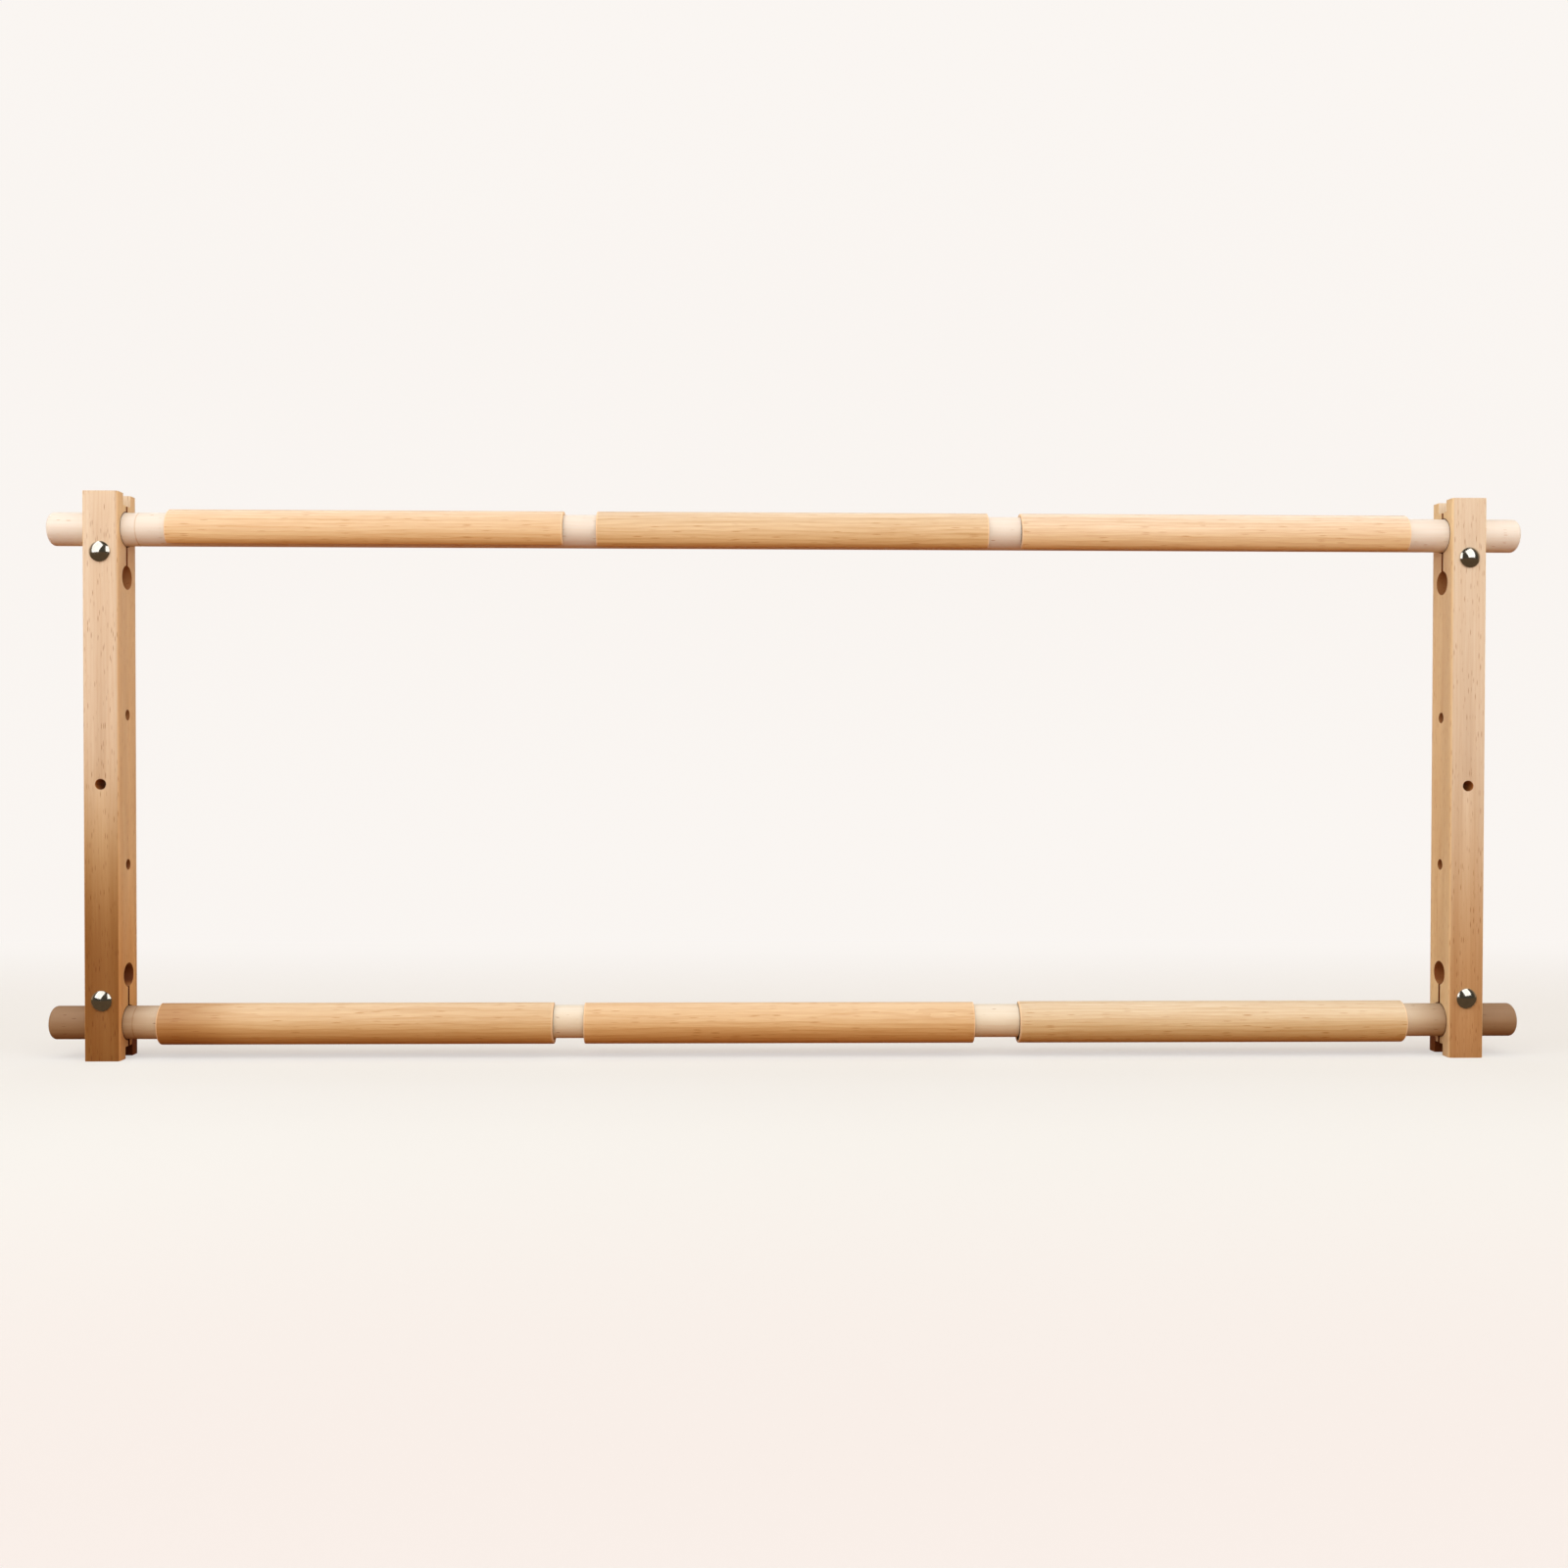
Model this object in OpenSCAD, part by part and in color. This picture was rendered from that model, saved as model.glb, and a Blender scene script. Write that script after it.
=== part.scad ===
// Scroll frame for needlework: two round wooden rollers held between two
// wooden arms, with clips that press the cloth against the rollers.
// Millimetres. X runs along the rollers, the front faces -Y and +Z is up.
// The origin lies on the floor, in the middle of the frame's footprint.

/* [Rollers] */
// Length of each roller
roller_length = 888; // [700:1:1200]
// Diameter of each roller
roller_d = 20; // [16:0.5:23]
// Distance between the two roller axes
roller_spacing = 297; // [200:1:450]
// Radius round the ends of a roller
roller_end_radius = 2.5; // [0.5:0.25:5]
// How far a roller stands out past the arms
roller_overhang = 23.5; // [12:0.5:80]

/* [Arms] */
// Width of an arm, along the rollers
arm_width = 21; // [18:0.5:30]
// Depth of an arm, from front to back
arm_depth = 28; // [27:0.5:40]
// Length of an arm past each roller axis
arm_end = 21; // [20:0.5:35]
// Radius along the four long edges of an arm
arm_edge_radius = 2; // [0.5:0.25:4]

/* [Clamps] */
// Clearance all round a roller in its clamp
roller_clearance = 0.08; // [0.02:0.01:0.1]
// Width of the saw cut that splits a clamp into two jaws
kerf = 2.2; // [1:0.1:4]
// Width of the mouth between the tips of the jaws
mouth_width = 10.5; // [5:0.5:14]
// Depth of the mouth
mouth_depth = 7; // [2:0.5:8]
// Wood between the roller and the clamp bolt
bolt_wall = 2.2; // [1.5:0.1:6]
// Wood between the clamp bolt and the relief hole
relief_wall = 4; // [2:0.25:8]
// Diameter of the relief hole where the saw cut ends
relief_d = 14.5; // [6:0.5:18]

/* [Stand holes] */
// Diameter of the holes that take a stand's screws
stand_hole_d = 6.5; // [4:0.5:8]
// Front hole, measured down from the middle of the arm
front_hole_drop = 4.5; // [0:0.5:20]
// Upper side hole, measured up from the middle of the arm
side_hole_rise = 37; // [20:1:45]
// Lower side hole, measured down from the middle of the arm
side_hole_drop = 53; // [35:1:55]

/* [Clips] */
// Gap between neighbouring clips on a roller
clip_gap = 22; // [14:1:50]
// Gap from the outer clips to the arms
clip_end_gap = 23.5; // [14:0.5:60]
// Thickness of a clip's wall
clip_wall = 2; // [1.6:0.1:4]
// Room for cloth all round, between a clip and its roller
cloth_room = 0.75; // [0.3:0.05:1.5]
// Gap left where a clip hangs on the top of its roller
clip_seat = 0.1; // [0.05:0.05:0.2]
// Angle that a clip leaves open
clip_opening = 112; // [90:2:130]
// Length of the flat planed on the outside of each lip
lip_flat = 2.9; // [1:0.1:5]
// Slope of that flat against the round
lip_slope = 23; // [10:1:30]
// How far each upper clip has been slid, from left to right
upper_clip_shift = [3, 1, -1]; // [-6:0.5:6]
// How far each lower clip has been slid, from left to right
lower_clip_shift = [-3, -6.5, -1]; // [-7:0.5:7]
// Turn of each upper clip, from its opening facing straight down
upper_clip_turn = [12, 16, 18]; // [0:1:40]
// Turn of each lower clip, from its opening facing straight down
lower_clip_turn = [120, 123, 117]; // [90:1:150]

/* [Hardware] */
// Thread diameter of the carriage bolts
bolt_d = 5; // [4:0.5:6]
// Clearance all round a bolt in the wood
bolt_clearance = 0.2; // [0.1:0.05:0.5]
// Diameter of the bolt's domed head
head_d = 12.4; // [10:0.1:16]
// Height of the head, with its rim
head_height = 3; // [2:0.1:4]
// Height of the straight rim under the dome
head_rim = 0.4; // [0.2:0.1:0.8]
// Length of the square neck that keeps the bolt from turning
neck_length = 3.5; // [2:0.1:5]
// Thread that stands out past a wing nut
bolt_past_nut = 4.3; // [2:0.1:12]
// Chamfer on the end of a bolt
bolt_tip = 0.7; // [0.2:0.1:1]
// Clearance all round the bolt in a washer
washer_clearance = 0.1; // [0.05:0.05:0.1]
// Outer diameter of a washer
washer_d = 15; // [12:0.5:18]
// Thickness of a washer
washer_thick = 1.2; // [0.8:0.1:2]
// Clearance all round the bolt in a wing nut
thread_clearance = 0.06; // [0.02:0.01:0.1]
// Diameter of a wing nut's hub where it meets the washer
hub_base_d = 11; // [9:0.5:12]
// Diameter of the hub at its top
hub_top_d = 9; // [8:0.5:10]
// Height of the hub
hub_height = 6.5; // [5:0.5:9]
// Span over the two wings
wing_span = 26; // [22:0.5:30]
// Height of the wings above the washer
wing_height = 13; // [12:0.5:16]
// Thickness of the wings
wing_thick = 2.2; // [1.5:0.1:3]
// Radius of the rounded tip of a wing
wing_tip_radius = 3.6; // [2.5:0.1:4.5]
// Radius at the root of a wing, inside the hub
wing_root_radius = 2.3; // [1.5:0.1:3]
// Gap between the underside of the wings and the washer
wing_lift = 0.2; // [0.1:0.1:1]
// Turn of the wing nuts at the upper end, left and right
upper_wing_turn = [8, -12]; // [-15:1:15]
// Turn of the wing nuts at the lower end, left and right
lower_wing_turn = [-6, 11]; // [-15:1:15]

/* [Hidden] */

$fn = 96;
eps = 0.01;
over_cut = 1;
BEECH = [0.87, 0.70, 0.50];
BIRCH = [0.94, 0.87, 0.78];
STAINED = [0.86, 0.62, 0.38];
NICKEL = [0.80, 0.78, 0.73];

// Places along the frame and its two rows, each with a roller, clips and clamps
LEFT = -1;
MIDDLE = 0;
RIGHT = 1;
UPPER = 0;
LOWER = 1;

// Arms and rollers
roller_r = roller_d / 2;
clamp_r = roller_r + roller_clearance;
arm_height = roller_spacing + 2 * arm_end;
arm_middle = arm_height / 2;
arm_x = roller_length / 2 - roller_overhang - arm_width / 2;
row_z = [arm_end + roller_spacing, arm_end];
// Direction from each row towards the middle of the arms
inward = [-1, 1];

// Clamps, measured from the roller axis towards the middle of the arm
bolt_hole_r = bolt_d / 2 + bolt_clearance;
bolt_offset = clamp_r + bolt_wall + bolt_hole_r;
relief_offset = bolt_offset + bolt_hole_r + relief_wall + relief_d / 2;

// Clips
inner_span = 2 * arm_x - arm_width;
clip_length = (inner_span - 2 * clip_end_gap - 2 * clip_gap) / 3;
clip_pitch = clip_length + clip_gap;
clip_bore_r = roller_r + cloth_room;
clip_outer_r = clip_bore_r + clip_wall;
clip_hang = cloth_room - clip_seat;
lip_flat_arc = lip_flat / clip_outer_r * 180 / PI;
clip_shift = [upper_clip_shift, lower_clip_shift];
clip_turn = [upper_clip_turn, lower_clip_turn];

// Hardware
bolt_length = arm_depth + washer_thick + hub_height + bolt_past_nut;
dome_height = head_height - head_rim;
dome_r = (pow(head_d / 2, 2) + pow(dome_height, 2)) / (2 * dome_height);
washer_y = arm_depth / 2;
nut_y = washer_y + washer_thick;
wing_turn = [upper_wing_turn, lower_wing_turn];

// The footprint runs from the bolt heads to whatever reaches furthest back
front_reach = arm_depth / 2 + head_height;
back_reach = nut_y + max(wing_height, hub_height + bolt_past_nut);
roller_y = (front_reach - back_reach) / 2;

// A rectangle with true round corners, centred on the origin
module rounded_rectangle(width, depth, radius) {
    square([width - 2 * radius, depth], center = true);
    square([width, depth - 2 * radius], center = true);
    for (x = [-1, 1], y = [-1, 1])
        translate([x * (width / 2 - radius), y * (depth / 2 - radius)]) circle(radius);
}

// Two circles joined by the lines that touch them both
module tapered_bar(start, start_r, finish, finish_r) {
    run = finish - start;
    heading = atan2(run[1], run[0]);
    spread = acos((start_r - finish_r) / norm(run));
    left = [cos(heading + spread), sin(heading + spread)];
    right = [cos(heading - spread), sin(heading - spread)];
    polygon([
        start + start_r * left, finish + finish_r * left,
        finish + finish_r * right, start + start_r * right,
    ]);
    translate(start) circle(start_r);
    translate(finish) circle(finish_r);
}

// Turns a shape that stands on the floor so that it lies along the rollers
module along_x() {
    rotate([90, 0, 90]) children();
}

// Turns a shape that stands on the floor so that it points to the back
module along_y() {
    rotate([-90, 0, 0]) children();
}

// Everything cut from the upper end of an arm, seen from the roller axis
module clamp_cuts() {
    tip = arm_end + eps;
    // Hole for the roller
    along_x() cylinder(r = clamp_r, h = arm_width + 2 * over_cut, center = true);
    // Saw cut from the mouth, through the roller hole, to the relief hole
    translate([-arm_width, -kerf / 2, -relief_offset])
        cube([2 * arm_width, kerf, relief_offset + tip]);
    // Mouth between the tips of the jaws
    translate([-arm_width, -mouth_width / 2, arm_end - mouth_depth])
        cube([2 * arm_width, mouth_width, mouth_depth + eps]);
    // Relief hole that lets the jaws flex
    translate([0, 0, -relief_offset]) along_x()
        cylinder(d = relief_d, h = arm_width + 2 * over_cut, center = true);
    // Hole for the clamp bolt, with a square pocket for its neck
    translate([0, 0, -bolt_offset]) along_y()
        cylinder(r = bolt_hole_r, h = arm_depth + 2 * over_cut, center = true);
    pocket = bolt_d + 2 * bolt_clearance;
    translate([-pocket / 2, -arm_depth / 2 - eps, -bolt_offset - pocket / 2])
        cube([pocket, neck_length + bolt_clearance + eps, pocket]);
}

module stand_holes() {
    translate([0, 0, arm_middle - front_hole_drop]) along_y()
        cylinder(d = stand_hole_d, h = arm_depth + 2 * over_cut, center = true);
    for (z = [arm_middle + side_hole_rise, arm_middle - side_hole_drop])
        translate([0, 0, z]) along_x()
            cylinder(d = stand_hole_d, h = arm_width + 2 * over_cut, center = true);
}

// Both ends of an arm are the same clamp, so the lower one is turned over
module arm(side) {
    color(BEECH)
        translate([side * arm_x, roller_y, 0])
        difference() {
            linear_extrude(arm_height)
                rounded_rectangle(arm_width, arm_depth, arm_edge_radius);
            translate([0, 0, row_z[UPPER]]) clamp_cuts();
            translate([0, 0, row_z[LOWER]]) mirror([0, 0, 1]) clamp_cuts();
            stand_holes();
        }
}

module roller(row) {
    color(BIRCH)
        translate([-roller_length / 2, roller_y, row_z[row]]) rotate([0, 90, 0])
        rotate_extrude() {
            translate([0, roller_end_radius])
                square([roller_r, roller_length - 2 * roller_end_radius]);
            square([roller_r - roller_end_radius, roller_length]);
            for (end = [roller_end_radius, roller_length - roller_end_radius])
                translate([roller_r - roller_end_radius, end]) circle(roller_end_radius);
        }
}

// Section of a clip round the centre of its bore, open downwards. Both circles
// start in the opening, so that neither wall has a seam.
module clip_section() {
    reach = 2 * clip_outer_r;
    half = clip_opening / 2;
    difference() {
        rotate(-90) circle(clip_outer_r);
        rotate(-90) circle(clip_bore_r);
        polygon([
            [0, 0],
            reach * [-sin(half), -cos(half)],
            reach * [0, -1],
            reach * [sin(half), -cos(half)],
        ]);
        for (side = [0, 1])
            mirror([side, 0])
                rotate(half + lip_flat_arc)
                translate([0, -clip_outer_r])
                rotate(-lip_slope)
                translate([-reach, -reach])
                square([reach + over_cut, reach]);
    }
}

// A clip hangs on the top of its roller by the room left for the cloth
module clip(row, place) {
    shift = clip_shift[row][place + 1];
    turn = clip_turn[row][place + 1];
    color(STAINED)
        translate([place * clip_pitch + shift - clip_length / 2, roller_y, row_z[row] - clip_hang])
        along_x()
        linear_extrude(clip_length)
        rotate(turn)
        clip_section();
}

// Moves a clamp's hardware to its bolt axis at the middle of the arm's depth
module at_clamp(row, side) {
    translate([side * arm_x, roller_y, row_z[row] + inward[row] * bolt_offset]) children();
}

module carriage_bolt(row, side) {
    color(NICKEL) at_clamp(row, side)
        translate([0, -arm_depth / 2, 0]) {
            // Domed head on its rim
            along_y() translate([0, 0, -head_height]) rotate_extrude()
                intersection() {
                    translate([0, dome_r]) circle(dome_r);
                    square([head_d / 2, head_height]);
                }
            // Square neck
            along_y() translate([-bolt_d / 2, -bolt_d / 2, -eps])
                cube([bolt_d, bolt_d, neck_length + eps]);
            // Shank with a chamfered end
            along_y() rotate_extrude()
                polygon([
                    [0, 0], [bolt_d / 2, 0],
                    [bolt_d / 2, bolt_length - bolt_tip],
                    [bolt_d / 2 - bolt_tip, bolt_length],
                    [0, bolt_length],
                ]);
        }
}

module washer(row, side) {
    color(NICKEL) at_clamp(row, side)
        translate([0, washer_y, 0]) along_y()
        difference() {
            cylinder(d = washer_d, h = washer_thick);
            translate([0, 0, -over_cut])
                cylinder(r = bolt_d / 2 + washer_clearance, h = washer_thick + 2 * over_cut);
        }
}

// The wings stand upright at rest, so that they hide behind the arm
module wing_nut(row, side) {
    turn = wing_turn[row][side == LEFT ? 0 : 1];
    tip = [wing_span / 2 - wing_tip_radius, wing_height - wing_tip_radius];
    root = [(bolt_d + wing_root_radius) / 2, wing_root_radius + wing_lift];
    color(NICKEL) at_clamp(row, side)
        translate([0, nut_y, 0]) rotate([0, turn, 0]) along_y()
        difference() {
            union() {
                cylinder(d1 = hub_base_d, d2 = hub_top_d, h = hub_height);
                for (wing = [90, -90])
                    rotate(wing) rotate([90, 0, 0])
                        linear_extrude(wing_thick, center = true)
                        tapered_bar(root, wing_root_radius, tip, wing_tip_radius);
            }
            translate([0, 0, -over_cut])
                cylinder(r = bolt_d / 2 + thread_clearance, h = wing_height + 2 * over_cut);
        }
}

arm(LEFT);  // left_arm
arm(RIGHT);  // right_arm
roller(UPPER);  // upper_roller
roller(LOWER);  // lower_roller
clip(UPPER, LEFT);  // upper_left_clip
clip(UPPER, MIDDLE);  // upper_middle_clip
clip(UPPER, RIGHT);  // upper_right_clip
clip(LOWER, LEFT);  // lower_left_clip
clip(LOWER, MIDDLE);  // lower_middle_clip
clip(LOWER, RIGHT);  // lower_right_clip
carriage_bolt(UPPER, LEFT);  // upper_left_bolt
carriage_bolt(UPPER, RIGHT);  // upper_right_bolt
carriage_bolt(LOWER, LEFT);  // lower_left_bolt
carriage_bolt(LOWER, RIGHT);  // lower_right_bolt
washer(UPPER, LEFT);  // upper_left_washer
washer(UPPER, RIGHT);  // upper_right_washer
washer(LOWER, LEFT);  // lower_left_washer
washer(LOWER, RIGHT);  // lower_right_washer
wing_nut(UPPER, LEFT);  // upper_left_wing_nut
wing_nut(UPPER, RIGHT);  // upper_right_wing_nut
wing_nut(LOWER, LEFT);  // lower_left_wing_nut
wing_nut(LOWER, RIGHT);  // lower_right_wing_nut
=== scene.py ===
"""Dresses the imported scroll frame: eased wooden arms, turned rollers, springy wooden
clips and nickel-plated clamp hardware, in a plain pale studio."""

import math

import bmesh
import bpy
from mathutils import Matrix, Vector


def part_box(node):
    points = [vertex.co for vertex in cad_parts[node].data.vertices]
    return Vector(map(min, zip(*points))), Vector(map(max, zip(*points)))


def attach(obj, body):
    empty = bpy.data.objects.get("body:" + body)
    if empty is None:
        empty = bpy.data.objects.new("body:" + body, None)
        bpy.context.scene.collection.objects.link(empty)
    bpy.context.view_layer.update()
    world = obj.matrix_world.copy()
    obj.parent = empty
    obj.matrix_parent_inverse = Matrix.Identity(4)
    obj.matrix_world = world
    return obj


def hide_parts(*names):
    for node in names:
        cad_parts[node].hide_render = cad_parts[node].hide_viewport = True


MM = 0.001
X_AXIS, Y_AXIS, Z_AXIS = 0, 1, 2

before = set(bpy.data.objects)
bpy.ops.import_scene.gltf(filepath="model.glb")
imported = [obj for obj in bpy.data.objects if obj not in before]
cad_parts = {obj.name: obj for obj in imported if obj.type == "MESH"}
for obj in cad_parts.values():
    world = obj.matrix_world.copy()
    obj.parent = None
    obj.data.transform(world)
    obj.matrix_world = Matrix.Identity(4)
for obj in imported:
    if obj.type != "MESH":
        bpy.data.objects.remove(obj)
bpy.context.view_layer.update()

ROWS = ("upper", "lower")
SIDES = ("left", "right")
PLACES = ("left", "middle", "right")


def roller_axis(row):
    """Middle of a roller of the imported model, in millimetres."""
    low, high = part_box(f"{row}_roller")
    return (low + high) / 2 / MM


ROLLER_Y = roller_axis("upper").y
ROLLER_Z = {row: roller_axis(row).z for row in ROWS}

# Sizes in millimetres, as in the part's source
ROLLER_R = 10.0
ROLLER_END_R = 2.5
CLIP_BORE_R = 10.75
CLIP_OUTER_R = 12.75
CLIP_HANG = 0.65
CLIP_OPENING = 112.0
LIP_FLAT = 2.9
LIP_SLOPE = 23.0
CLIP_TURN = {"upper": (12, 16, 18), "lower": (120, 123, 117)}
BOLT_R = 2.5
BOLT_LENGTH = 40.0
NECK_LENGTH = 3.5
HEAD_R = 6.2
HEAD_HEIGHT = 3.0
HEAD_RIM = 0.4
WASHER_R = 7.5
WASHER_BORE_R = 2.6
WASHER_THICK = 1.2
PITCH = 0.8
THREAD_DEPTH = 0.42
NUT_BORE_R = 2.56
HUB_BASE_R = 5.5
HUB_TOP_R = 4.5
HUB_HEIGHT = 6.5
WING_SPAN = 26.0
WING_HEIGHT = 13.0
WING_THICK = 2.2
WING_TIP_R = 3.6
WING_ROOT_R = 2.3
WING_LIFT = 0.2
WING_TURN = {"upper": (8, -12), "lower": (-6, 11)}


# Mesh helpers

def link_mesh(name, bm, smooth_angle=None):
    """A new object from a bmesh given in millimetres in the part's frame."""
    bmesh.ops.recalc_face_normals(bm, faces=bm.faces)
    bmesh.ops.scale(bm, vec=(MM, MM, MM), verts=bm.verts)
    mesh = bpy.data.meshes.new(name)
    bm.to_mesh(mesh)
    bm.free()
    made = bpy.data.objects.new(name, mesh)
    bpy.context.scene.collection.objects.link(made)
    if smooth_angle is not None:
        smooth_by_angle(made, smooth_angle)
    return made


def smooth_by_angle(piece, degrees):
    """Smooth shading, with sharp edges where two faces meet at more than an angle."""
    mesh = piece.data
    bm = bmesh.new()
    bm.from_mesh(mesh)
    limit = math.radians(degrees)
    for face in bm.faces:
        face.smooth = True
    for edge in bm.edges:
        if len(edge.link_faces) == 2 and edge.calc_face_angle(0) > limit:
            edge.smooth = False
    bm.to_mesh(mesh)
    bm.free()


def apply_modifiers(piece):
    graph = bpy.context.evaluated_depsgraph_get()
    mesh = bpy.data.meshes.new_from_object(piece.evaluated_get(graph))
    piece.modifiers.clear()
    piece.data = mesh


def ring_of(bm, points):
    return [bm.verts.new(point) for point in points]


def join_rings(bm, one, two):
    count = len(one)
    for i in range(count):
        j = (i + 1) % count
        bm.faces.new((one[i], one[j], two[j], two[i]))


def lathe(profile, segments, place):
    """A bmesh turned from (along, radius) pairs. place(along, across, up) gives a point."""
    bm = bmesh.new()
    rings = []
    for along, radius in profile:
        if radius == 0:
            rings.append([bm.verts.new(place(along, 0, 0))])
            continue
        angles = [2 * math.pi * i / segments for i in range(segments)]
        rings.append(ring_of(bm, [
            place(along, radius * math.cos(a), radius * math.sin(a)) for a in angles]))
    for one, two in zip(rings, rings[1:]):
        if len(one) == 1 or len(two) == 1:
            tip, ring = (one[0], two) if len(one) == 1 else (two[0], one)
            for i in range(segments):
                bm.faces.new((tip, ring[i], ring[(i + 1) % segments]))
        else:
            join_rings(bm, one, two)
    return bm, rings


def arc(centre, radius, start, end, steps):
    """Points on an arc, as (along, radius) or (x, y) pairs; angles in degrees."""
    found = []
    for i in range(steps + 1):
        a = math.radians(start + (end - start) * i / steps)
        found.append((centre[0] + radius * math.cos(a), centre[1] + radius * math.sin(a)))
    return found


# Node helpers

def add(tree, kind, inputs=None, **settings):
    """A new node. Its inputs take numbers, colours or other nodes' sockets, by name or place."""
    made = tree.nodes.new(kind)
    for key, value in settings.items():
        setattr(made, key, value)
    for key, value in (inputs or {}).items():
        socket = made.inputs[key]
        if isinstance(value, bpy.types.NodeSocket):
            tree.links.new(value, socket)
        else:
            socket.default_value = value
    return made


def math_node(tree, operation, *values, clamp=False):
    made = add(tree, "ShaderNodeMath", dict(enumerate(values)), operation=operation)
    made.use_clamp = clamp
    return made.outputs[0]


def mix_colour(tree, factor, one, two, blend="MIX"):
    made = add(tree, "ShaderNodeMix", data_type="RGBA", blend_type=blend)
    for socket, value in zip((made.inputs[0], made.inputs[6], made.inputs[7]), (factor, one, two)):
        if isinstance(value, bpy.types.NodeSocket):
            tree.links.new(value, socket)
        else:
            socket.default_value = value
    return made.outputs[2]


def ramp(tree, value, low, high, to_low=0.0, to_high=1.0):
    """Maps a value from one range to another with a smooth step, and clamps it."""
    made = add(tree, "ShaderNodeMapRange",
               {0: value, 1: low, 2: high, 3: to_low, 4: to_high},
               interpolation_type="SMOOTHSTEP")
    return made.outputs[0]


def linear(colour):
    """A linear colour with alpha from one written as 0 to 255 per channel."""
    channels = []
    for value in colour:
        value = value / 255
        channels.append(value / 12.92 if value <= 0.04045 else ((value + 0.055) / 1.055) ** 2.4)
    return (*channels, 1.0)


def new_material(name):
    material = bpy.data.materials.new(name)
    material.use_nodes = True
    tree = material.node_tree
    shader = next(n for n in tree.nodes if n.type == "BSDF_PRINCIPLED")
    return material, tree, shader


# Wood. Each noise is (across, along, detail), with waves per millimetre across the grain
# and along it. Each share is that noise's part in the light and dark of the wood.
RING_WAVE = (0.05, 0.006, 2.0)
RING_WAVE_MM = 9.0
RING_RIPPLE = (0.16, 0.03, 2.0)
RING_RIPPLE_MM = 2.4
RINGS_PER_MM = 0.42
LATE_WOOD = (0.45, 1.0)
LATE_SHARE = 0.30
STREAK = (0.45, 0.008, 3.0)
STREAK_SHARE = 1.0
BAND = (0.10, 0.003, 2.0)
BAND_SHARE = 0.75
GRAIN_LINE = (1.1, 0.05, 2.0)
GRAIN_LINE_SHARE = 0.9
FIBRE = (5.0, 0.16, 2.0)
FIBRE_SHARE = 0.40
NOISE_ROUGHNESS = 0.55
NOISE_MIDDLE = 0.5
MEAN_TONE = 0.32
FLECK_SPREAD = (0.10, 0.34)
FLECK_STRENGTH = 0.85
# Part of the normal along an axis where a face starts to look along it, and where it does
FACING = (0.35, 0.92)
# How far the border of the painted shade wanders with the wood's bands
SHADE_BORDER_WANDER = 0.5
# The painted underside shade is none where the normal's upward part is this, full at minus this
UNDER_SPAN = 0.85
SAWN_ROUGHNESS = 0.9
# Extra roughness under the painted highlight on the ends
END_HIGHLIGHT_ROUGHNESS = 0.4
FIBRE_ROUGHNESS = 0.22
WOOD_IOR = 1.45
FLECK_DEPTH = -0.6
LATE_DEPTH = -0.15
WOOD_BUMP_MM = 0.05
WOOD_BUMP = 0.55


def grain_space(tree, cut, grain, across, along):
    """Place in the wood, scaled across the grain and along it."""
    scale = [across] * 3
    scale[grain] = along
    return add(tree, "ShaderNodeMapping", {"Vector": cut, "Scale": scale}).outputs[0]


def grain_noise(tree, cut, grain, across, along, detail):
    return add(tree, "ShaderNodeTexNoise", {
        "Vector": grain_space(tree, cut, grain, across, along), "Scale": 1.0, "Detail": detail,
        "Roughness": NOISE_ROUGHNESS, "Distortion": 0.0}).outputs["Fac"]


def length_of(tree, vector):
    return add(tree, "ShaderNodeVectorMath", {0: vector}, operation="LENGTH").outputs["Value"]


def late_wood(tree, cut, grain, pith):
    """The dark side of the growth rings: distance from the pith, waved by slow noise."""
    flat = [1.0] * 3
    flat[grain] = 0.0
    spread = add(tree, "ShaderNodeVectorMath", {0: cut, 1: flat}, operation="MULTIPLY").outputs[0]
    away = add(tree, "ShaderNodeVectorMath", {0: spread, 1: pith},
               operation="SUBTRACT").outputs[0]
    wave = grain_noise(tree, cut, grain, *RING_WAVE)
    ripple = grain_noise(tree, cut, grain, *RING_RIPPLE)
    waved = math_node(tree, "MULTIPLY_ADD", wave, RING_WAVE_MM, length_of(tree, away))
    waved = math_node(tree, "MULTIPLY_ADD", ripple, RING_RIPPLE_MM, waved)
    ring = math_node(tree, "FRACT", math_node(tree, "MULTIPLY", waved, RINGS_PER_MM))
    return ramp(tree, ring, *LATE_WOOD)


def flecks(tree, cut, grain, share, along):
    """Short dashes along the grain, in some cells only and of many lengths."""
    cells = add(tree, "ShaderNodeTexVoronoi", {
        "Vector": grain_space(tree, cut, grain, 1.0, 1 / along), "Scale": 1.0,
        "Randomness": 1.0}, feature="F1").outputs
    chosen = add(tree, "ShaderNodeSeparateColor", {0: cells["Color"]}).outputs
    near = ramp(tree, cells["Distance"], *FLECK_SPREAD, 1.0, 0.0)
    picked = ramp(tree, chosen[0], 1 - share, 1.0)
    return math_node(tree, "MULTIPLY", near, picked)


def facing(tree, axis):
    """1 on faces that look along an axis, either way, and 0 on those that look aside."""
    normal = add(tree, "ShaderNodeTexCoord").outputs["Normal"]
    part = add(tree, "ShaderNodeSeparateXYZ", {0: normal}).outputs[axis]
    return ramp(tree, math_node(tree, "ABSOLUTE", part), *FACING)


def painted_shade_share(tree, where, band, axis, start, end, faces):
    """How much painted shade the wood takes, with an uneven border that follows its bands."""
    place = add(tree, "ShaderNodeSeparateXYZ", {0: where}).outputs[axis]
    share = ramp(tree, math_node(tree, "ABSOLUTE", place), start * MM, end * MM)
    if faces is not None:
        share = math_node(tree, "MULTIPLY", share, facing(tree, faces))
    centred = math_node(tree, "SUBTRACT", band, NOISE_MIDDLE)
    wander = math_node(tree, "MULTIPLY_ADD", centred, SHADE_BORDER_WANDER, share)
    return math_node(tree, "MULTIPLY", wander, share, clamp=True)


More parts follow.
